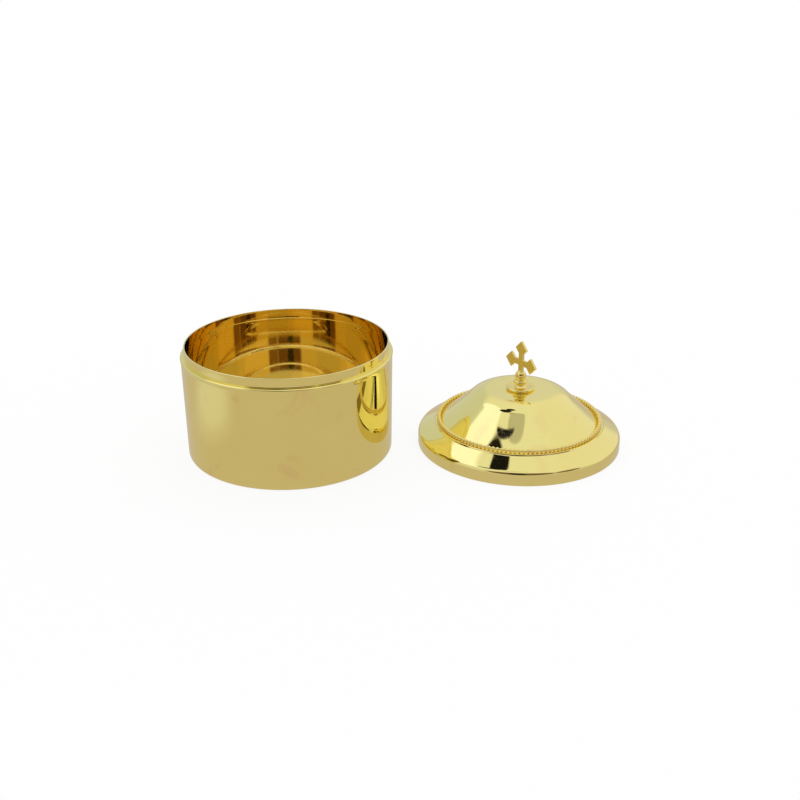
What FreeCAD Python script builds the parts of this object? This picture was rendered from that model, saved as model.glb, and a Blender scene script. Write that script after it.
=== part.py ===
import FreeCAD, Part
import math
import os

# A small covered ciborium: a straight-sided bowl of spun brass, and its lid, which has been lifted
# off and stands beside it on the same surface. The lid slips over the bowl's collar and comes to
# rest on the shoulder above the bead.
# Millimetres, +Z up. The origin is the centre of the bowl's base. The lid stands along +X, and the
# front of the object faces -Y.

# Sheet
sheet = 1.0

# Each round stretch of a turned profile is cut in flats, which lie this deep inside it at the most
flat_depth = 0.35

# Share of its radius by which a slightly tapered side narrows at the most
slight_taper = 0.03

# Bowl
bowl_foot_radius = 74.0
bowl_wall_radius = 75.0
bowl_corner_reach = 3.0
bowl_shoulder_height = 75.0
bead_radius = 1.25
bead_proud = 0.45
collar_height = 6.7
floor_ring_radius = 26.0
floor_ring_width = 5.0
floor_ring_rise = 0.8
floor_ring_slope = 1.3

# Fit of the lid on the collar
lid_clearance = 0.5

# Lid
lid_radius = 74.1
brim_edge_height = 9.6
brim_reach = 2.2
brim_inner_height = 16.8
step_radius = 61.9
step_lean = 0.5
ledge_height = 17.9
ledge_width = 3.7
flare_waist_radius = 46.0
flare_waist_height = 27.4
flare_reach = 12.4
crown_edge_radius = 30.9
crown_height = 42.0
crown_reach = 6.9

# Pearled wire on the ledge
pearl_count = 120
pearl_radius = 1.5
pearl_neck_radius = 0.75
pearl_sides = 6
pearl_belly_share = 0.45
pearl_ring_inset = 2.4

# Finial
stud_radius = 1.5
stud_clearance = 0.2
thread_clearance = 0.05
flange_radius = 10.3
flange_rim_radius = 1.1
flange_dish_radius = 6.4
flange_dish_depth = 0.7
knob_foot_radius = 4.6
knob_neck_radius = 3.1
knob_neck_height = 1.9
knob_neck_reach = 0.8
cup_radius = 5.2
cup_rim_radius = 1.5
cup_height = 4.1
ball_radius = 4.1
ball_height = 8.7
ball_neck_radius = 3.1
washer_radius = 3.5
washer_thickness = 0.5
nut_across_flats = 5.5
nut_height = 2.4
stud_end_beyond_nut = 0.8

# Cross
cross_thickness = 1.8
cross_turn = -58.0
cross_centre_above_ball = 10.1
lozenge_distance = 10.4
lozenge_half_diagonal = 5.9
cross_arm_width = 4.4
cross_hub_half_diagonal = 4.9
cross_tang_depth = 2.2
cross_slot_clearance = 0.05

# Where the lid stands
lid_gap = 19.0
lid_place = FreeCAD.Vector(bowl_wall_radius + lid_gap + lid_radius, 0, 0)

# Heights up the lid's axis that follow from the sizes above
flange_top = crown_height + 2 * flange_rim_radius
knob_seat = flange_top - flange_dish_depth
ball_centre = knob_seat + ball_height
cross_centre = ball_centre + cross_centre_above_ball
dome_underside = crown_height - sheet
nut_top = dome_underside - washer_thickness
stud_end = nut_top - nut_height - stud_end_beyond_nut
collar_radius = lid_radius - sheet - lid_clearance
ledge_outer_radius = step_radius - step_lean
ledge_inner_radius = ledge_outer_radius - ledge_width

UP = FreeCAD.Vector(0, 0, 1)


def at(radius, height):
    """Point of a turned profile, in the plane through the axis."""
    return FreeCAD.Vector(radius, 0, height)


def arc_points(centre, radius, start_angle, end_angle):
    """Points of a round stretch of a profile, cut in flats; angles in degrees from the outward."""
    turn = end_angle - start_angle
    flats = math.ceil(abs(turn) / 2 / math.degrees(math.acos(1 - min(flat_depth / radius, 1))))
    angles = [math.radians(start_angle + turn * step / flats) for step in range(flats + 1)]
    return [centre + at(radius * math.cos(angle), radius * math.sin(angle)) for angle in angles]


def rounded(corners):
    """Points of a profile through (radius, height, reach) corners.

    A corner with a reach is rounded by an arc that starts and ends that far from it.
    """
    points = []
    for index, (radius, height, reach) in enumerate(corners):
        corner = at(radius, height)
        if not reach:
            points.append(corner)
            continue
        back = (at(*corners[index - 1][:2]) - corner).normalize()
        ahead = (at(*corners[index + 1][:2]) - corner).normalize()
        turn = math.pi - back.getAngle(ahead)
        rounding = reach / math.tan(turn / 2)
        centre = corner + (back + ahead).normalize() * (rounding / math.cos(turn / 2))
        spoke = corner + back * reach - centre
        start_angle = math.degrees(math.atan2(spoke.z, spoke.x))
        swing = math.degrees(turn) * (1 if back.cross(ahead).y > 0 else -1)
        points += arc_points(centre, rounding, start_angle, start_angle + swing)
    return points


def turned(outline):
    """Solid of revolution inside a closed outline; slightly tapered sides are ruled surfaces."""
    faces = []
    for edge in outline.Edges:
        start, end = [vertex.Point for vertex in edge.Vertexes]
        if max(start.x, end.x) < 0.001:
            continue
        taper = abs(start.x - end.x) / max(start.x, end.x)
        if 0.00001 < taper < slight_taper and abs(start.z - end.z) > 0.001:
            circles = [Part.makeCircle(point.x, at(0, point.z)) for point in (start, end)]
            faces.append(Part.makeRuledSurface(*circles))
        else:
            faces.append(edge.revolve(at(0, 0), UP, 360))
    skin = Part.makeCompound(faces)
    skin.sewShape()
    solid = Part.Solid(skin.Shells[0])
    if solid.Volume < 0:
        solid.reverse()
    return solid


def spun(points):
    """Shell of one sheet, which lies on the inner side of an outer profile."""
    outer = Part.makePolygon(points)
    return turned(outer.makeOffset2D(sheet, 2, True, True, False))


def closed(points):
    """Closed outline through the points."""
    return Part.makePolygon(points + points[:1])


def disc(radius, hole_radius, low, high):
    """Plain ring with a hole, square to the axis."""
    ring = Part.makeCylinder(radius, high - low, at(0, low))
    return ring.cut(Part.makeCylinder(hole_radius, high - low, at(0, low)))


def make_bowl_shell():
    """Bowl spun in one sheet: ringed floor, tapered wall, bead, flat shoulder and collar."""
    ring_in = floor_ring_radius - floor_ring_width / 2
    ring_out = floor_ring_radius + floor_ring_width / 2
    bead_centre = at(bowl_wall_radius + bead_proud - bead_radius, bowl_shoulder_height - bead_radius)
    bead_start = -math.degrees(math.acos((bead_radius - bead_proud) / bead_radius))
    bead = arc_points(bead_centre, bead_radius, bead_start, 90)
    lower = rounded([
        (0, 0, 0),
        (ring_in, 0, 0),
        (ring_in + floor_ring_slope, floor_ring_rise, 0),
        (ring_out - floor_ring_slope, floor_ring_rise, 0),
        (ring_out, 0, 0),
        (bowl_foot_radius, 0, bowl_corner_reach),
        (bowl_wall_radius, bead[0].z, 0),
    ])
    collar = [
        at(collar_radius, bowl_shoulder_height),
        at(collar_radius, bowl_shoulder_height + collar_height),
    ]
    return spun(lower + bead[1:] + collar)


def make_lid_shell():
    """Lid spun in one sheet: skirt, brim, step, ledge, flare and crown, with the stud's hole."""
    return spun(rounded([
        (lid_radius, 0, 0),
        (lid_radius, brim_edge_height, brim_reach),
        (step_radius, brim_inner_height, 0),
        (ledge_outer_radius, ledge_height, 0),
        (ledge_inner_radius, ledge_height, 0),
        (flare_waist_radius, flare_waist_height, flare_reach),
        (crown_edge_radius, crown_height, crown_reach),
        (stud_radius + stud_clearance, crown_height, 0),
    ]))


def make_lid_pearl_ring():
    """Pearled wire bent into a ring: flat-sided pearls that run into one another at their necks."""
    ring_radius = ledge_outer_radius - pearl_ring_inset
    mitre = math.tan(math.pi / pearl_count)
    half_pitch = ring_radius * mitre
    belly = half_pitch * pearl_belly_share
    taper = (pearl_radius - pearl_neck_radius) / (half_pitch - belly)
    wire_height = ledge_height + pearl_radius * math.cos(math.pi / pearl_sides)
    belly_ring = []
    neck_ring = []
    for side in range(pearl_sides):
        angle = 2 * math.pi * (side + 0.5) / pearl_sides - math.pi / 2
        out = math.cos(angle)
        rise = math.sin(angle)
        belly_ring.append(FreeCAD.Vector(ring_radius + pearl_radius * out, belly,
                                         wire_height + pearl_radius * rise))
        reach = (ring_radius + (pearl_radius + belly * taper) * out) * mitre / (1 + taper * out * mitre)
        radius = pearl_radius - (reach - belly) * taper
        neck_ring.append(FreeCAD.Vector(ring_radius + radius * out, reach, wire_height + radius * rise))

    def far_side(ring):
        return [FreeCAD.Vector(point.x, -point.y, point.z) for point in ring]

    sections = [far_side(neck_ring), far_side(belly_ring), belly_ring, neck_ring]
    facets = []
    for near, far in zip(sections, sections[1:]):
        for side in range(pearl_sides):
            after = (side + 1) % pearl_sides
            corners = [near[side], near[after], far[after], far[side], near[side]]
            facets.append(Part.Face(Part.makePolygon(corners)))
    faces = []
    for index in range(pearl_count):
        for facet in facets:
            copy = facet.copy()
            copy.rotate(at(0, 0), UP, 360 * index / pearl_count)
            faces.append(copy)
    skin = Part.makeCompound(faces)
    skin.sewShape()
    return Part.Solid(skin.Shells[0])


def make_finial_flange():
    """Turned flange under the knob: half-round rim, dished top and a hole for the stud."""
    rim_centre = at(flange_radius - flange_rim_radius, crown_height + flange_rim_radius)
    hole_radius = stud_radius + stud_clearance
    dish = [at(flange_dish_radius, knob_seat), at(hole_radius, knob_seat)]
    rim = arc_points(rim_centre, flange_rim_radius, -90, 90)
    return turned(closed([at(hole_radius, crown_height)] + rim + dish))


def make_finial_knob():
    """Turned knob: foot, neck, cup and ball in one, the cross's slot on top, the stud below."""
    cup_centre = at(cup_radius - cup_rim_radius, knob_seat + cup_height)
    cup = arc_points(cup_centre, cup_rim_radius, -90, 90)
    ball_start = -math.degrees(math.acos(ball_neck_radius / ball_radius))
    ball = arc_points(at(0, ball_centre), ball_radius, ball_start, 90)
    foot = rounded([
        (knob_foot_radius, knob_seat, 0),
        (knob_neck_radius, knob_seat + knob_neck_height, knob_neck_reach),
        (cup_centre.x, cup[0].z, 0),
    ])
    stud = [at(0, stud_end), at(stud_radius, stud_end), at(stud_radius, knob_seat)]
    neck = [at(ball_neck_radius, cup[-1].z)]
    body = turned(closed(stud + foot + cup[1:] + neck + ball))
    return body.cut(make_cross_blade(cross_slot_clearance))


def make_cross_blade(clearance):
    """Lower arm of the cross, down to the end of its tang; with a clearance, the slot for it."""
    bottom = ball_centre + ball_radius - cross_tang_depth - clearance
    width = cross_arm_width + 2 * clearance
    depth = cross_thickness + 2 * clearance
    corner = FreeCAD.Vector(-width / 2, -depth / 2, bottom)
    blade = Part.makeBox(width, depth, cross_centre - bottom, corner)
    blade.rotate(at(0, 0), UP, cross_turn)
    return blade


def make_finial_cross():
    """Cross sawn from plate, with lozenge ends; its lower arm ends in the tang."""
    def lozenge(distance_x, distance_z, half_diagonal):
        centre = FreeCAD.Vector(distance_x, -cross_thickness / 2, cross_centre + distance_z)
        offsets = ((-half_diagonal, 0), (0, -half_diagonal), (half_diagonal, 0), (0, half_diagonal))
        corners = [centre + FreeCAD.Vector(x, 0, z) for x, z in offsets]
        face = Part.Face(Part.makePolygon(corners + corners[:1]))
        return face.extrude(FreeCAD.Vector(0, cross_thickness, 0))

    half_arm = cross_arm_width / 2
    bar = Part.makeBox(2 * lozenge_distance, cross_thickness, cross_arm_width,
                       FreeCAD.Vector(-lozenge_distance, -cross_thickness / 2, cross_centre - half_arm))
    post = Part.makeBox(cross_arm_width, cross_thickness, lozenge_distance,
                        FreeCAD.Vector(-half_arm, -cross_thickness / 2, cross_centre))
    ends = [lozenge(x, z, lozenge_half_diagonal)
            for x, z in ((-lozenge_distance, 0), (lozenge_distance, 0), (0, lozenge_distance))]
    hub = lozenge(0, 0, cross_hub_half_diagonal)
    plate = bar.fuse([post, hub] + ends)
    plate.rotate(at(0, 0), UP, cross_turn)
    return plate.fuse(make_cross_blade(0)).removeSplitter()


def make_finial_washer():
    """Plain washer against the underside of the dome."""
    return disc(washer_radius, stud_radius + stud_clearance, nut_top, dome_underside)


def make_finial_nut():
    """Hexagon nut that draws the knob, flange and washer together."""
    circle = nut_across_flats / 2 / math.cos(math.pi / 6)
    corners = [FreeCAD.Vector(circle * math.cos(math.radians(60 * side)),
                              circle * math.sin(math.radians(60 * side)), nut_top - nut_height)
               for side in range(7)]
    blank = Part.Face(Part.makePolygon(corners)).extrude(FreeCAD.Vector(0, 0, nut_height))
    bore = Part.makeCylinder(stud_radius + thread_clearance, nut_height, at(0, nut_top - nut_height))
    return blank.cut(bore)


def save(node, shape, place=FreeCAD.Vector()):
    """Write one piece to its file, where it stands."""
    shape.translate(place)
    shape.exportStep("parts/" + node + ".step")
    print(node, shape.isValid(), len(shape.Solids), round(shape.Volume, 2), len(shape.Faces))


os.makedirs("parts", exist_ok=True)
save("bowl_shell", make_bowl_shell())
save("lid_shell", make_lid_shell(), lid_place)
save("lid_pearl_ring", make_lid_pearl_ring(), lid_place)
save("finial_flange", make_finial_flange(), lid_place)
save("finial_knob", make_finial_knob(), lid_place)
save("finial_cross", make_finial_cross(), lid_place)
save("finial_washer", make_finial_washer(), lid_place)
save("finial_nut", make_finial_nut(), lid_place)
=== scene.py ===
import bpy
import bmesh
import math
from mathutils import Euler, Matrix, Vector


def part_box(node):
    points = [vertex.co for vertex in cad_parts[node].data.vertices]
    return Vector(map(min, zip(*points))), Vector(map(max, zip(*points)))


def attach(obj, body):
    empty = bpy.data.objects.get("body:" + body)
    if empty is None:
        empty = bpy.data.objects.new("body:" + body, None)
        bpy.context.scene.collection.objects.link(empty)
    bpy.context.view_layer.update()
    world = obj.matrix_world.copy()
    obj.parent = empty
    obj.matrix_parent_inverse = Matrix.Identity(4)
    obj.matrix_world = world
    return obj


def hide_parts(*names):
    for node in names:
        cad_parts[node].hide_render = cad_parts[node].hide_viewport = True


# A small covered ciborium in mirror-polished brass: a straight-sided bowl, and its lid with a
# pearled ring and a plate cross, lifted off and stood beside it. Metres, in the part's own frame.

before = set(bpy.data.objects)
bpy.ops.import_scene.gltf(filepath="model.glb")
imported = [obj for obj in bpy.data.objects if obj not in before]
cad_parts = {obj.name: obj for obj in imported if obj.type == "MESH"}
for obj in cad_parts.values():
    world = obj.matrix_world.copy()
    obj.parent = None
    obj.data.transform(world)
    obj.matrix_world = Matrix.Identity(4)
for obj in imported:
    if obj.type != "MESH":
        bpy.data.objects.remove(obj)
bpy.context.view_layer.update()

MM = 0.001
UP = Vector((0, 0, 1))

# From the frame: where the pieces stand and how far they reach
bowl_low, bowl_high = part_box("bowl_shell")
lid_low, lid_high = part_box("lid_shell")
flange_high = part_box("finial_flange")[1]
knob_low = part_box("finial_knob")[0]
cross_low, cross_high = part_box("finial_cross")
washer_low, washer_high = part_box("finial_washer")
nut_low, nut_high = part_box("finial_nut")

bowl_axis = 0.0
lid_axis = (lid_low.x + lid_high.x) / 2
rim_height = bowl_high.z
lid_radius = (lid_high.x - lid_low.x) / 2
crown_height = lid_high.z
flange_top = flange_high.z
washer_top = washer_high.z
washer_bottom = washer_low.z
nut_top = nut_high.z
nut_bottom = nut_low.z
stud_end = knob_low.z
cross_tip = cross_high.z
tang_end = cross_low.z

# Sheet that the bowl and lid are spun from
sheet = 1.0 * MM
edge_softness = 0.35 * MM
least_inside_rounding = 0.2 * MM

# Bowl
collar_radius = lid_radius - sheet - 0.5 * MM
wall_radius = 75.0 * MM
foot_radius = 74.0 * MM
shoulder_height = 75.0 * MM
bead_radius = 1.25 * MM
bead_proud = (bowl_high.x - bowl_low.x) / 2 - wall_radius
foot_rounding = 3.0 * MM
floor_ring_radius = 26.0 * MM
floor_ring_width = 5.0 * MM
floor_ring_slope = 1.3 * MM
floor_ring_rise = 0.8 * MM
floor_ring_softness = 0.6 * MM
shoulder_softness = 0.15 * MM
inner_corner_rounding = 0.8 * MM

# Lid
brim_edge_height = 9.6 * MM
brim_rounding = 2.2 * MM
brim_inner_height = 16.8 * MM
step_radius = 61.9 * MM
ledge_outer = 61.4 * MM
ledge_inner = 57.7 * MM
ledge_height = 17.9 * MM
waist_radius = 46.0 * MM
waist_height = 27.4 * MM
flare_rounding = 12.4 * MM
crown_edge = 30.9 * MM
crown_rounding = 6.9 * MM
step_softness = 0.35 * MM
ledge_softness = 0.5 * MM

# Pearled wire
pearl_count = 120
pearl_radius = 1.5 * MM
pearl_ring_radius = ledge_outer - 2.4 * MM
wire_core_radius = 0.8 * MM
wire_core_sides = 10

# Finial
stud_radius = 1.5 * MM
stud_hole = 1.7 * MM
rim_radius = 1.1 * MM
flange_radius = 10.3 * MM
dish_radius = 6.4 * MM
dish_softness = 0.5 * MM
knob_seat = flange_top - 0.7 * MM
knob_foot = 4.6 * MM
knob_neck = 3.1 * MM
neck_height = 1.9 * MM
neck_rounding = 0.8 * MM
cup_radius = 5.2 * MM
cup_rim = 1.5 * MM
cup_height = knob_seat + 4.1 * MM
ball_radius = 4.1 * MM
ball_height = knob_seat + 8.7 * MM
ball_neck = 3.1 * MM
knob_foot_softness = 0.15 * MM
stud_end_softness = 0.1 * MM
washer_radius = 3.5 * MM
washer_softness = 0.08 * MM
nut_across_flats = 5.5 * MM
nut_bore = stud_radius + 0.05 * MM
nut_chamfer = 0.25 * MM
nut_cuts = 3
nut_bore_sides = 24
thread_pitch = 0.5 * MM
thread_depth = 0.3 * MM
thread_root = 0.05 * MM
thread_half_width = thread_pitch * 0.45
thread_steps = 16

# Cross
cross_thickness = 1.8 * MM
cross_turn = math.radians(-58)
lozenge_distance = 10.4 * MM
lozenge_reach = 5.9 * MM
arm_half_width = 2.2 * MM
hub_reach = 4.9 * MM
cross_edge = 0.15 * MM
cross_height = cross_tip - lozenge_distance - lozenge_reach

# Fineness of the turned surfaces
quarter_steps = 64
small_quarter_steps = 24
longest_run = 2.5 * MM
arc_steps = 18
small_arc_steps = 10
tiny_arc_steps = 2
merge_distance = 0.0001 * MM
cross_merge_distance = 0.001 * MM
sharp_angle = 0.9

# Finish of the brass: noise scales to the metre, strengths, and the reach of the golden inside
ring_scale = 900.0
tone_scale = 35.0
stain_scale = 48.0
smear_scale = 120.0
stain_strength = 0.55
ring_tint = 0.16
ring_roughness = 0.3
coat_roughness = 0.03
gilded_radius = collar_radius - 0.5 * sheet


class HalfSection:
    """Outline of a turned piece, drawn in the plane through its axis, then turned into a solid."""

    def __init__(self, radius, height, steps_of_arc=arc_steps):
        self.mesh = bmesh.new()
        self.steps_of_arc = steps_of_arc
        self.pen = self.mesh.verts.new((radius, 0, height))
        self.start = self.pen
        self.corners = []

    def line(self, radius, height, rounding=0.0):
        """Straight on to a corner, which is rounded that far along both its sides."""
        grown = bmesh.ops.extrude_vert_indiv(self.mesh, verts=[self.pen])
        self.pen = grown["verts"][0]
        self.pen.co = Vector((radius, 0, height))
        if rounding:
            self.corners.append((self.pen, rounding))

    def arc(self, centre_radius, centre_height, angle):
        """Round on about a centre; a positive angle runs from +X towards +Z."""
        swept = bmesh.ops.spin(self.mesh, geom=[self.pen], cent=(centre_radius, 0, centre_height),
                               axis=(0, 1, 0), angle=-math.radians(angle), steps=self.steps_of_arc)
        self.pen = next(item for item in swept["geom_last"] if isinstance(item, bmesh.types.BMVert))

    def close(self):
        """Join the end to the start."""
        self.mesh.edges.new((self.pen, self.start))

    def turn(self, steps=quarter_steps):
        """Full turn about the axis, as a bmesh with its normals outward."""
        mesh = self.mesh
        for corner, rounding in self.corners:
            bmesh.ops.bevel(mesh, geom=[corner], affect="VERTICES", offset=rounding,
                            segments=self.steps_of_arc, profile=0.5, material=-1)
        for run in [edge for edge in mesh.edges if edge.calc_length() > longest_run]:
            cuts = int(run.calc_length() / longest_run)
            bmesh.ops.subdivide_edges(mesh, edges=[run], cuts=cuts)
        bmesh.ops.spin(mesh, geom=mesh.verts[:] + mesh.edges[:], cent=(0, 0, 0), axis=UP,
                       angle=math.tau / 4, steps=steps)
        return whole_round(mesh)


def whole_round(mesh):
    """Mirror a quarter of a round piece into the whole, and turn its normals outward."""
    for axis in ("X", "Y"):
        quarter = mesh.verts[:] + mesh.edges[:] + mesh.faces[:]
        bmesh.ops.mirror(mesh, geom=quarter, axis=axis, merge_dist=merge_distance)
    bmesh.ops.remove_doubles(mesh, verts=mesh.verts, dist=merge_distance)
    bmesh.ops.recalc_face_normals(mesh, faces=mesh.faces)
    return mesh


def finished(name, mesh, axis_x, body, replaced, material, smooth=True):
    """Object from a bmesh that was made round the origin, set on its axis and on its body."""
    bmesh.ops.translate(mesh, verts=mesh.verts, vec=(axis_x, 0, 0))
    for face in mesh.faces:
        face.smooth = smooth
    data = bpy.data.meshes.new(name)
    mesh.to_mesh(data)
    mesh.free()
    piece = bpy.data.objects.new(name, data)
    bpy.context.collection.objects.link(piece)
    data.materials.append(material)
    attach(piece, body)
    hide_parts(replaced)


def sheet_section(corners):
    """Inner corners, with their roundings, of a sheet whose outer corners are given."""
    points = [Vector((radius, height)) for radius, height, rounding in corners]
    inside = []
    for index, point in enumerate(points):
        before = (point - points[index - 1]).normalized() if index else None
        after = (points[index + 1] - point).normalized() if index + 1 < len(points) else None
        along = after if before is None else before
        across = Vector((-along.y, along.x))
        if before is None or after is None:
            inside.append((point + across * sheet, 0.0))
            continue
        turn = before.angle_signed(after)
        bisector = (Vector((-before.y, before.x)) + Vector((-after.y, after.x))).normalized()
        rounding = corners[index][2]
        inner_point = point + bisector * sheet / math.cos(turn / 2)
        inner_rounding = rounding + sheet * math.tan(turn / 2)
        inside.append((inner_point, max(inner_rounding, least_inside_rounding)))
    return inside


def noise(nodes, links, vector, scale, detail, distortion=0.0):
    """Noise of that scale over the vector."""
    texture = nodes.new("ShaderNodeTexNoise")
    texture.inputs["Scale"].default_value = scale
    texture.inputs["Detail"].default_value = detail
    texture.inputs["Distortion"].default_value = distortion
    links.new(vector, texture.inputs["Vector"])
    return texture.outputs["Fac"]


def ranged(nodes, links, value, from_low, from_high, to_low, to_high):
    """The value carried from one range to another, and held at its ends."""
    carried = nodes.new("ShaderNodeMapRange")
    carried.inputs["From Min"].default_value = from_low
    carried.inputs["From Max"].default_value = from_high
    carried.inputs["To Min"].default_value = to_low
    carried.inputs["To Max"].default_value = to_high
    links.new(value, carried.inputs["Value"])
    return carried.outputs["Result"]


def calculated(nodes, links, operation, *values):
    """Result of one sum; each value is a socket or a plain number."""
    node = nodes.new("ShaderNodeMath")
    node.operation = operation
    for socket, value in zip(node.inputs, values):
        if isinstance(value, float):
            socket.default_value = value
        else:
            links.new(value, socket)
    return node.outputs[0]


def mixed(nodes, links, factor, low, high):
    """Colour between low and high; each is a socket or a plain colour."""
    mix = nodes.new("ShaderNodeMix")
    mix.data_type = "RGBA"
    links.new(factor, mix.inputs[0])
    for socket, colour in ((mix.inputs[6], low), (mix.inputs[7], high)):
        if isinstance(colour, tuple):
            socket.default_value = colour
        else:
            links.new(colour, socket)
    return mix.outputs[2]


def brass(name, axis_x, colour, deep_colour, stain_colour, roughness, smear, coat, inside_colour=None):
    """Polished brass: rings from the spinning, smears of the cloth, patches of tone and stains."""
    material = bpy.data.materials.new(name)
    material.use_nodes = True
    nodes = material.node_tree.nodes
    links = material.node_tree.links
    shader = nodes["Principled BSDF"]
    shader.inputs["Metallic"].default_value = 1.0
    shader.inputs["Coat Weight"].default_value = coat
    shader.inputs["Coat Roughness"].default_value = coat_roughness
    centred = nodes.new("ShaderNodeMapping")
    centred.inputs["Location"].default_value = (-axis_x, 0, 0)
    links.new(nodes.new("ShaderNodeTexCoord").outputs["Object"], centred.inputs["Vector"])
    place = centred.outputs["Vector"]
    parts = nodes.new("ShaderNodeSeparateXYZ")
    links.new(place, parts.inputs[0])
    flat = nodes.new("ShaderNodeCombineXYZ")
    links.new(parts.outputs["X"], flat.inputs["X"])
    links.new(parts.outputs["Y"], flat.inputs["Y"])
    radius = nodes.new("ShaderNodeVectorMath")
    radius.operation = "LENGTH"
    links.new(flat.outputs[0], radius.inputs[0])
    around = nodes.new("ShaderNodeCombineXYZ")
    links.new(radius.outputs["Value"], around.inputs["X"])
    links.new(parts.outputs["Z"], around.inputs["Z"])

    rings = noise(nodes, links, around.outputs[0], ring_scale, 3.0)
    patches = noise(nodes, links, place, tone_scale, 4.0)
    tone = mixed(nodes, links, patches, (*colour, 1), (*deep_colour, 1))
    stains = noise(nodes, links, place, stain_scale, 5.0, 0.6)
    stained = ranged(nodes, links, stains, 0.60, 0.72, 0.0, stain_strength)
    tone = mixed(nodes, links, stained, tone, (*stain_colour, 1))
    faint_rings = ranged(nodes, links, rings, 0.35, 0.65, 0.0, ring_tint)
    tone = mixed(nodes, links, faint_rings, tone, (*deep_colour, 1))
    if inside_colour:
        middle = ranged(nodes, links, parts.outputs["Z"], 0.0, shoulder_height,
                        foot_radius - 0.5 * sheet, wall_radius - 0.5 * sheet)
        in_wall = calculated(nodes, links, "LESS_THAN", radius.outputs["Value"], middle)
        low = calculated(nodes, links, "LESS_THAN", parts.outputs["Z"], shoulder_height - 0.5 * sheet)
        in_low_wall = calculated(nodes, links, "MULTIPLY", in_wall, low)
        in_collar = calculated(nodes, links, "LESS_THAN", radius.outputs["Value"], gilded_radius)
        within = calculated(nodes, links, "MAXIMUM", in_low_wall, in_collar)
        above = calculated(nodes, links, "GREATER_THAN", parts.outputs["Z"], 0.9 * sheet)
        gilded = calculated(nodes, links, "MULTIPLY", within, above)
        tone = mixed(nodes, links, gilded, tone, (*inside_colour, 1))
    links.new(tone, shader.inputs["Base Color"])

    smears = noise(nodes, links, place, smear_scale, 6.0, 1.5)
    smeared = ranged(nodes, links, smears, 0.45, 0.8, roughness, roughness + smear)
    swing = ring_roughness * roughness
    ringed = ranged(nodes, links, rings, 0.3, 0.7, -swing, swing)
    links.new(calculated(nodes, links, "ADD", smeared, ringed), shader.inputs["Roughness"])
    return material


bowl_brass = brass("bowl_brass", bowl_axis, colour=(0.93, 0.82, 0.31), deep_colour=(0.89, 0.76, 0.26),
                   stain_colour=(0.86, 0.62, 0.27), roughness=0.03, smear=0.04, coat=0.0,
                   inside_colour=(0.90, 0.755, 0.36))
lid_brass = brass("lid_brass", lid_axis, colour=(0.95, 0.84, 0.33), deep_colour=(0.91, 0.79, 0.28),
                  stain_colour=(0.88, 0.68, 0.28), roughness=0.03, smear=0.04, coat=0.0)
pearl_brass = brass("pearl_brass", lid_axis, colour=(0.95, 0.80, 0.31), deep_colour=(0.90, 0.72, 0.24),
                    stain_colour=(0.70, 0.48, 0.18), roughness=0.08, smear=0.05, coat=0.1)
finial_brass = brass("finial_brass", lid_axis, colour=(0.93, 0.77, 0.27), deep_colour=(0.86, 0.68, 0.2),
                     stain_colour=(0.72, 0.50, 0.18), roughness=0.05, smear=0.05, coat=0.1)
cross_brass = brass("cross_brass", lid_axis, colour=(0.9, 0.76, 0.3), deep_colour=(0.84, 0.68, 0.24),
                    stain_colour=(0.70, 0.52, 0.22), roughness=0.2, smear=0.1, coat=0.0)
fastener_brass = brass("fastener_brass", lid_axis, colour=(0.8, 0.66, 0.3), deep_colour=(0.74, 0.6, 0.26),
                       stain_colour=(0.60, 0.44, 0.20), roughness=0.3, smear=0.1, coat=0.0)


def make_bowl():
    """Bowl: ringed floor, tapered wall, bead under the flat shoulder, collar with a soft rim."""
    ring_in = floor_ring_radius - floor_ring_width / 2
    ring_out = floor_ring_radius + floor_ring_width / 2
    bead_centre = wall_radius + bead_proud - bead_radius
    bead_height = shoulder_height - bead_radius
    bead_dip = math.sqrt(bead_radius ** 2 - (bead_radius - bead_proud) ** 2)
    bead_angle = 90 + math.degrees(math.asin(bead_dip / bead_radius))
    inner_foot = foot_radius - sheet
    inner_wall = wall_radius - sheet
    inner_ring_height = sheet + floor_ring_rise
    section = HalfSection(0, 0)
    section.line(ring_in, 0, floor_ring_softness)
    section.line(ring_in + floor_ring_slope, floor_ring_rise, floor_ring_softness)
    section.line(ring_out - floor_ring_slope, floor_ring_rise, floor_ring_softness)
    section.line(ring_out, 0, floor_ring_softness)
    section.line(foot_radius, 0, foot_rounding)
    section.line(wall_radius, bead_height - bead_dip)
    section.arc(bead_centre, bead_height, bead_angle)
    section.line(collar_radius, shoulder_height, shoulder_softness)
    section.line(collar_radius, rim_height, edge_softness)
    section.line(collar_radius - sheet, rim_height, edge_softness)
    section.line(collar_radius - sheet, shoulder_height - sheet, inner_corner_rounding)
    section.line(inner_wall, shoulder_height - sheet, inner_corner_rounding)
    section.line(inner_foot, sheet, foot_rounding - sheet)
    section.line(ring_out, sheet, floor_ring_softness)
    section.line(ring_out - floor_ring_slope, inner_ring_height, floor_ring_softness)
    section.line(ring_in + floor_ring_slope, inner_ring_height, floor_ring_softness)
    section.line(ring_in, sheet, floor_ring_softness)
    section.line(0, sheet)
    finished("bowl", section.turn(), bowl_axis, "bowl", "bowl_shell", bowl_brass)


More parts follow.
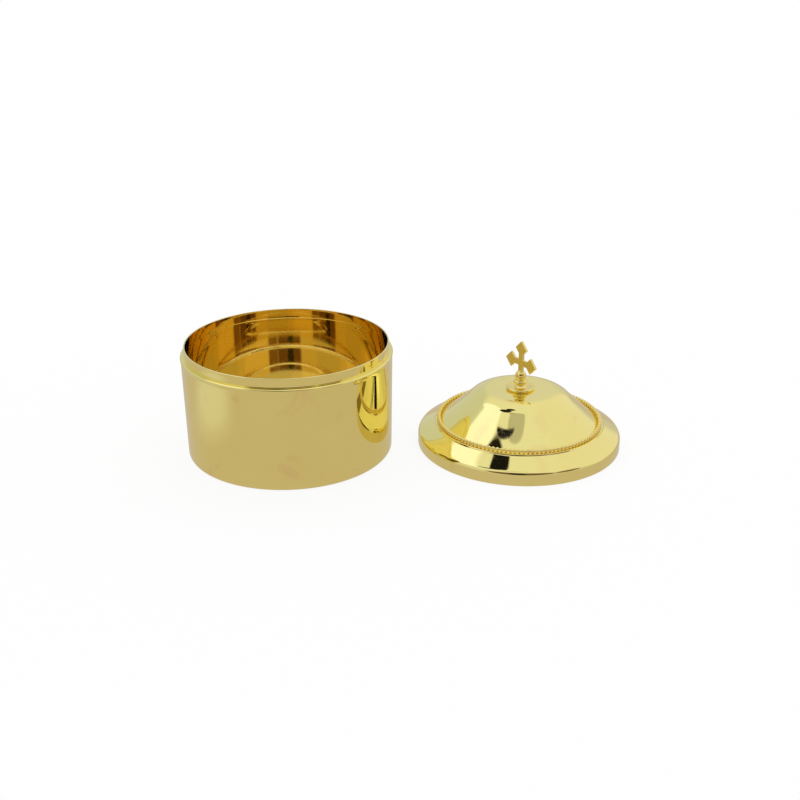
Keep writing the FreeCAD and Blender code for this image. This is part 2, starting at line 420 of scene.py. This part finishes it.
def make_lid():
    """Lid: skirt, brim, step, ledge, flare and crown, pierced for the stud."""
    corners = [
        (lid_radius, 0, 0),
        (lid_radius, brim_edge_height, brim_rounding),
        (step_radius, brim_inner_height, step_softness),
        (ledge_outer, ledge_height, step_softness),
        (ledge_inner, ledge_height, ledge_softness),
        (waist_radius, waist_height, flare_rounding),
        (crown_edge, crown_height, crown_rounding),
        (stud_hole, crown_height, 0),
    ]
    section = HalfSection(lid_radius, edge_softness)
    for radius, height, rounding in corners[1:]:
        section.line(radius, height, rounding)
    inside = sheet_section(corners)
    section.line(stud_hole, crown_height - sheet)
    for point, rounding in reversed(inside[1:-1]):
        section.line(point.x, point.y, rounding)
    section.line(lid_radius - sheet, 0, edge_softness)
    section.line(lid_radius - edge_softness, 0)
    section.close()
    finished("lid", section.turn(), lid_axis, "lid", "lid_shell", lid_brass)


def make_pearl_ring():
    """Pearled wire: round pearls side by side on a thin core, on the ledge."""
    height = ledge_height + pearl_radius
    mesh = bmesh.new()
    for index in range(pearl_count // 4):
        angle = math.tau * (index + 0.5) / pearl_count
        place = Matrix.Rotation(angle, 4, "Z") @ Matrix.Translation((pearl_ring_radius, 0, height))
        bmesh.ops.create_icosphere(mesh, subdivisions=2, radius=pearl_radius, matrix=place)
    upright = Matrix.Rotation(math.pi / 2, 4, "X")
    place = Matrix.Translation((pearl_ring_radius, 0, height)) @ upright
    core = bmesh.ops.create_circle(mesh, segments=wire_core_sides, radius=wire_core_radius,
                                   matrix=place)["verts"]
    rounds = list({edge for vertex in core for edge in vertex.link_edges})
    bmesh.ops.spin(mesh, geom=core + rounds, cent=(0, 0, 0), axis=UP, angle=math.tau / 4,
                   steps=quarter_steps)
    whole_round(mesh)
    finished("pearl_ring", mesh, lid_axis, "lid", "lid_pearl_ring", pearl_brass)


def make_flange():
    """Flange under the knob: half-round rim and a shallow dish."""
    rim_centre = flange_radius - rim_radius
    section = HalfSection(stud_hole, crown_height, small_arc_steps)
    section.line(rim_centre, crown_height)
    section.arc(rim_centre, crown_height + rim_radius, 180)
    section.line(dish_radius, knob_seat, dish_softness)
    section.line(stud_hole, knob_seat)
    section.close()
    mesh = section.turn(small_quarter_steps)
    finished("flange", mesh, lid_axis, "lid", "finial_flange", finial_brass)


def make_knob():
    """Knob: foot, neck, cup and ball, with its threaded stud below."""
    cup_centre = cup_radius - cup_rim
    ball_dip = math.sqrt(ball_radius ** 2 - ball_neck ** 2)
    ball_angle = 90 + math.degrees(math.asin(ball_dip / ball_radius))
    core_radius = stud_radius - thread_depth
    thread_top = crown_height - sheet
    section = HalfSection(0, stud_end, small_arc_steps)
    section.line(core_radius, stud_end, stud_end_softness)
    section.line(core_radius, thread_top)
    section.line(stud_radius, thread_top)
    section.line(stud_radius, knob_seat)
    section.line(knob_foot, knob_seat, knob_foot_softness)
    section.line(knob_neck, knob_seat + neck_height, neck_rounding)
    section.line(cup_centre, cup_height - cup_rim)
    section.arc(cup_centre, cup_height, 180)
    section.line(ball_neck, cup_height + cup_rim)
    section.line(ball_neck, ball_height - ball_dip)
    section.arc(0, ball_height, ball_angle)
    mesh = section.turn(small_quarter_steps)
    add_thread(mesh, core_radius, stud_end + thread_pitch, thread_top - thread_pitch)
    finished("knob", mesh, lid_axis, "lid", "finial_knob", finial_brass)


def add_thread(mesh, core_radius, low, high):
    """Screw thread round the stud: one ridge wound up from low to high."""
    turns = int((high - low) / thread_pitch)
    root_radius = core_radius - thread_root
    ridge = [mesh.verts.new((root_radius, 0, low - thread_half_width))]
    for radius, height in ((stud_radius, low), (root_radius, low + thread_half_width)):
        grown = bmesh.ops.extrude_vert_indiv(mesh, verts=[ridge[-1]])
        grown["verts"][0].co = Vector((radius, 0, height))
        ridge.append(grown["verts"][0])
    edges = [edge for edge in mesh.edges if edge.verts[0] in ridge and edge.verts[1] in ridge]
    bmesh.ops.spin(mesh, geom=ridge + edges, cent=(0, 0, 0), axis=UP,
                   dvec=(0, 0, thread_pitch / thread_steps), angle=math.tau * turns,
                   steps=thread_steps * turns)


def make_cross():
    """Cross sawn from plate: three lozenge ends, a lozenge hub and a straight lower arm."""
    notch = hub_reach - arm_half_width
    neck = lozenge_distance - lozenge_reach + arm_half_width
    tip = lozenge_distance + lozenge_reach
    end = tang_end - cross_height
    mesh = bmesh.new()
    pen = mesh.verts.new((0, 0, tip))
    half_outline = [
        (lozenge_reach, lozenge_distance), (arm_half_width, neck), (arm_half_width, notch),
        (notch, arm_half_width), (neck, arm_half_width), (lozenge_distance, lozenge_reach), (tip, 0),
        (lozenge_distance, -lozenge_reach), (neck, -arm_half_width), (notch, -arm_half_width),
        (arm_half_width, -notch), (arm_half_width, end), (0, end),
    ]
    for across, up in half_outline:
        pen = bmesh.ops.extrude_vert_indiv(mesh, verts=[pen])["verts"][0]
        pen.co = Vector((across, 0, up))
    bmesh.ops.mirror(mesh, geom=mesh.verts[:] + mesh.edges[:], axis="X", merge_dist=cross_merge_distance)
    bmesh.ops.remove_doubles(mesh, verts=mesh.verts, dist=cross_merge_distance)
    plate = bmesh.ops.contextual_create(mesh, geom=mesh.edges)["faces"]
    bmesh.ops.translate(mesh, verts=mesh.verts, vec=(0, -cross_thickness / 2, 0))
    back = bmesh.ops.extrude_face_region(mesh, geom=plate, use_keep_orig=True)["geom"]
    bmesh.ops.translate(mesh, verts=[item for item in back if isinstance(item, bmesh.types.BMVert)],
                        vec=(0, cross_thickness, 0))
    bmesh.ops.recalc_face_normals(mesh, faces=mesh.faces)
    bmesh.ops.bevel(mesh, geom=mesh.edges[:], affect="EDGES", offset=cross_edge, segments=2,
                    profile=0.5, material=-1)
    bmesh.ops.rotate(mesh, verts=mesh.verts, matrix=Matrix.Rotation(cross_turn, 3, "Z"))
    bmesh.ops.translate(mesh, verts=mesh.verts, vec=(0, 0, cross_height))
    finished("cross", mesh, lid_axis, "lid", "finial_cross", cross_brass, False)


def make_washer():
    """Plain washer under the dome."""
    section = HalfSection(stud_hole, washer_bottom, tiny_arc_steps)
    section.line(washer_radius, washer_bottom, washer_softness)
    section.line(washer_radius, washer_top, washer_softness)
    section.line(stud_hole, washer_top)
    section.close()
    mesh = section.turn(small_quarter_steps)
    finished("washer", mesh, lid_axis, "lid", "finial_washer", fastener_brass)


def make_nut():
    """Hexagon nut, chamfered, under the washer."""
    across_corners = nut_across_flats / math.cos(math.pi / 6)
    mesh = bmesh.new()
    bmesh.ops.create_circle(mesh, segments=6, radius=across_corners / 2)
    bmesh.ops.subdivide_edges(mesh, edges=mesh.edges[:], cuts=nut_cuts)
    bmesh.ops.create_circle(mesh, segments=nut_bore_sides, radius=nut_bore)
    ring = bmesh.ops.bridge_loops(mesh, edges=mesh.edges[:])["faces"]
    grown = bmesh.ops.extrude_face_region(mesh, geom=ring, use_keep_orig=True)["geom"]
    bmesh.ops.translate(mesh, verts=[item for item in grown if isinstance(item, bmesh.types.BMVert)],
                        vec=(0, 0, nut_top - nut_bottom))
    bmesh.ops.recalc_face_normals(mesh, faces=mesh.faces)
    outer_reach = nut_across_flats * 0.45
    rims = [edge for edge in mesh.edges if edge.is_manifold and edge.calc_face_angle() > sharp_angle
            and edge.verts[0].co.length > outer_reach]
    bmesh.ops.bevel(mesh, geom=rims, affect="EDGES", offset=nut_chamfer, segments=1, profile=0.5,
                    material=-1)
    bmesh.ops.translate(mesh, verts=mesh.verts, vec=(0, 0, nut_bottom))
    finished("nut", mesh, lid_axis, "lid", "finial_nut", fastener_brass, False)


make_bowl()
make_lid()
make_pearl_ring()
make_flange()
make_knob()
make_cross()
make_washer()
make_nut()

# Surroundings: the white table, and the room as the metal shows it
table_reach = 4.0
table_white = (0.97, 0.97, 0.97)
table_bleach = 0.88
table_in_metal = (0.60, 0.54, 0.50)
glare_in_metal = (0.72, 0.71, 0.74)
glare_place = Vector((-195, -60, 0)) * MM
glare_radius = 70 * MM
glare_softness = 0.5
room_low = (0.62, 0.62, 0.62)
room_high = (0.86, 0.87, 0.88)
room_high_from = 0.8
daylight = 1.0
metal_bounces = 8

# Patches of the room that the metal shows. Each has its bearing from the front towards the right
# and its height, then its half width, half height and slant, all in degrees, and its colour
room_patches = [
    ("right_wall", 110, 30, 38, 38, 0, (0.86, 0.85, 0.84)),
    ("left_wall", -140, 14, 44, 30, 0, (0.64, 0.68, 0.74)),
    ("window", -106, 55, 22, 13.5, 0, (1.12, 1.18, 1.45)),
    ("ceiling_shade", -16, 70, 11, 4.5, 0, (0.54, 0.54, 0.54)),
    ("lamp_arm", -53, 69.3, 10, 0.9, -26, (0.012, 0.010, 0.02)),
    ("lamp_head", -84, 72, 8, 8, 0, (0.012, 0.010, 0.01)),
    ("lamp_stand", -121, 80, 5, 5, 0, (0.01, 0.01, 0.01)),
    ("dark_furniture", -4, 26, 36, 18, 0, (0.17, 0.11, 0.08)),
    ("dark_stand", -8, 24, 9, 14, 0, (0.03, 0.03, 0.025)),
    ("dark_shelf", 50, 22, 14, 12, 0, (0.24, 0.17, 0.12)),
]
patch_softness = 0.12


def sent_on_by_metal(nodes, links):
    """1 for rays that a polished or clear surface sends on, otherwise 0."""
    path = nodes.new("ShaderNodeLightPath")
    either = nodes.new("ShaderNodeMath")
    either.operation = "MAXIMUM"
    links.new(path.outputs["Is Glossy Ray"], either.inputs[0])
    links.new(path.outputs["Is Transmission Ray"], either.inputs[1])
    return either.outputs[0]


def make_table():
    """White table that the bowl and the lid stand on; it keeps a faint shadow."""
    mesh = bmesh.new()
    bmesh.ops.create_grid(mesh, x_segments=1, y_segments=1, size=table_reach)
    data = bpy.data.meshes.new("table_top")
    mesh.to_mesh(data)
    mesh.free()
    table = bpy.data.objects.new("table_top", data)
    bpy.context.collection.objects.link(table)
    material = bpy.data.materials.new("white_table")
    material.use_nodes = True
    nodes = material.node_tree.nodes
    links = material.node_tree.links
    nodes.remove(nodes["Principled BSDF"])
    output = nodes["Material Output"]
    cloth = nodes.new("ShaderNodeBsdfDiffuse")
    cloth.inputs["Color"].default_value = (*table_white, 1)
    white = nodes.new("ShaderNodeEmission")
    white.inputs["Color"].default_value = (1, 1, 1, 1)
    bleached = nodes.new("ShaderNodeMixShader")
    bleached.inputs["Fac"].default_value = table_bleach
    links.new(cloth.outputs[0], bleached.inputs[1])
    links.new(white.outputs[0], bleached.inputs[2])
    seen = nodes.new("ShaderNodeEmission")
    place = nodes.new("ShaderNodeTexCoord").outputs["Object"]
    off_glare = nodes.new("ShaderNodeVectorMath")
    off_glare.operation = "DISTANCE"
    off_glare.inputs[1].default_value = glare_place
    links.new(place, off_glare.inputs[0])
    glare = nodes.new("ShaderNodeMapRange")
    glare.interpolation_type = "SMOOTHSTEP"
    glare.inputs["From Min"].default_value = glare_radius * (1 + glare_softness)
    glare.inputs["From Max"].default_value = glare_radius * (1 - glare_softness)
    links.new(off_glare.outputs["Value"], glare.inputs["Value"])
    tone = mixed(nodes, links, glare.outputs["Result"], (*table_in_metal, 1), (*glare_in_metal, 1))
    links.new(tone, seen.inputs["Color"])
    camera_ray = nodes.new("ShaderNodeLightPath").outputs["Is Camera Ray"]
    metal_ray = sent_on_by_metal(nodes, links)
    to_camera = nodes.new("ShaderNodeMixShader")
    links.new(camera_ray, to_camera.inputs["Fac"])
    links.new(cloth.outputs[0], to_camera.inputs[1])
    links.new(bleached.outputs[0], to_camera.inputs[2])
    to_metal = nodes.new("ShaderNodeMixShader")
    links.new(metal_ray, to_metal.inputs["Fac"])
    links.new(to_camera.outputs[0], to_metal.inputs[1])
    links.new(seen.outputs[0], to_metal.inputs[2])
    links.new(to_metal.outputs[0], output.inputs["Surface"])
    data.materials.append(material)


def make_room():
    """White to the camera, plain daylight to the table, and the room's patches to the metal."""
    world = bpy.data.worlds.new("room")
    bpy.context.scene.world = world
    world.use_nodes = True
    nodes = world.node_tree.nodes
    links = world.node_tree.links
    facing = nodes.new("ShaderNodeTexCoord").outputs["Generated"]
    height = nodes.new("ShaderNodeSeparateXYZ")
    links.new(facing, height.inputs[0])
    rise = nodes.new("ShaderNodeMapRange")
    rise.inputs["From Min"].default_value = 0.0
    rise.inputs["From Max"].default_value = room_high_from
    links.new(height.outputs["Z"], rise.inputs["Value"])
    tone = mixed(nodes, links, rise.outputs["Result"], (*room_low, 1), (*room_high, 1))
    for name, bearing, up, half_width, half_height, slant, colour in room_patches:
        inside = patch(nodes, links, facing, bearing, up, half_width, half_height, slant)
        inside.node.label = name
        tone = mixed(nodes, links, inside, tone, (*colour, 1))
    shown = mixed(nodes, links, sent_on_by_metal(nodes, links), (daylight, daylight, daylight, 1), tone)
    links.new(shown, nodes["Background"].inputs["Color"])
    nodes["Background"].inputs["Strength"].default_value = 1.0


def patch(nodes, links, facing, bearing, up, half_width, half_height, slant):
    """1 inside an oval patch of the room, 0 outside it, and soft at its edge."""
    turned = Euler((-math.radians(up), 0, math.radians(bearing))).to_matrix()
    rolled = turned @ Matrix.Rotation(math.radians(slant), 3, "Y")
    offsets = nodes.new("ShaderNodeCombineXYZ")
    for axis, side, half in (("X", Vector((1, 0, 0)), half_width), ("Z", UP, half_height)):
        along = nodes.new("ShaderNodeVectorMath")
        along.operation = "DOT_PRODUCT"
        along.inputs[1].default_value = rolled @ side / math.sin(math.radians(half))
        links.new(facing, along.inputs[0])
        links.new(along.outputs["Value"], offsets.inputs[axis])
    ahead = nodes.new("ShaderNodeVectorMath")
    ahead.operation = "DOT_PRODUCT"
    ahead.inputs[1].default_value = rolled @ Vector((0, -1, 0))
    links.new(facing, ahead.inputs[0])
    before = nodes.new("ShaderNodeMath")
    before.operation = "GREATER_THAN"
    before.inputs[1].default_value = 0.0
    links.new(ahead.outputs["Value"], before.inputs[0])
    away = nodes.new("ShaderNodeVectorMath")
    away.operation = "LENGTH"
    links.new(offsets.outputs[0], away.inputs[0])
    edge = nodes.new("ShaderNodeMapRange")
    edge.interpolation_type = "SMOOTHSTEP"
    edge.inputs["From Min"].default_value = 1 + patch_softness
    edge.inputs["From Max"].default_value = 1 - patch_softness
    links.new(away.outputs["Value"], edge.inputs["Value"])
    inside = nodes.new("ShaderNodeMath")
    inside.operation = "MULTIPLY"
    links.new(edge.outputs["Result"], inside.inputs[0])
    links.new(before.outputs[0], inside.inputs[1])
    return inside.outputs[0]


make_table()
make_room()

# Camera, from a fit to the outlines of the bowl and lid
camera_place = Vector((48.99, -765.04, 360.47)) * MM
camera_turn = (math.radians(66.94), math.radians(0.095), math.radians(-2.393))
camera_lens = 51.385
sensor_width = 36


def make_camera():
    """Camera of the photograph."""
    data = bpy.data.cameras.new("camera")
    data.lens = camera_lens
    data.sensor_width = sensor_width
    camera = bpy.data.objects.new("camera", data)
    camera.location = camera_place
    camera.rotation_euler = Euler(camera_turn)
    bpy.context.collection.objects.link(camera)
    bpy.context.scene.camera = camera


make_camera()
bpy.context.scene.view_settings.view_transform = "Standard"
bpy.context.scene.cycles.glossy_bounces = metal_bounces
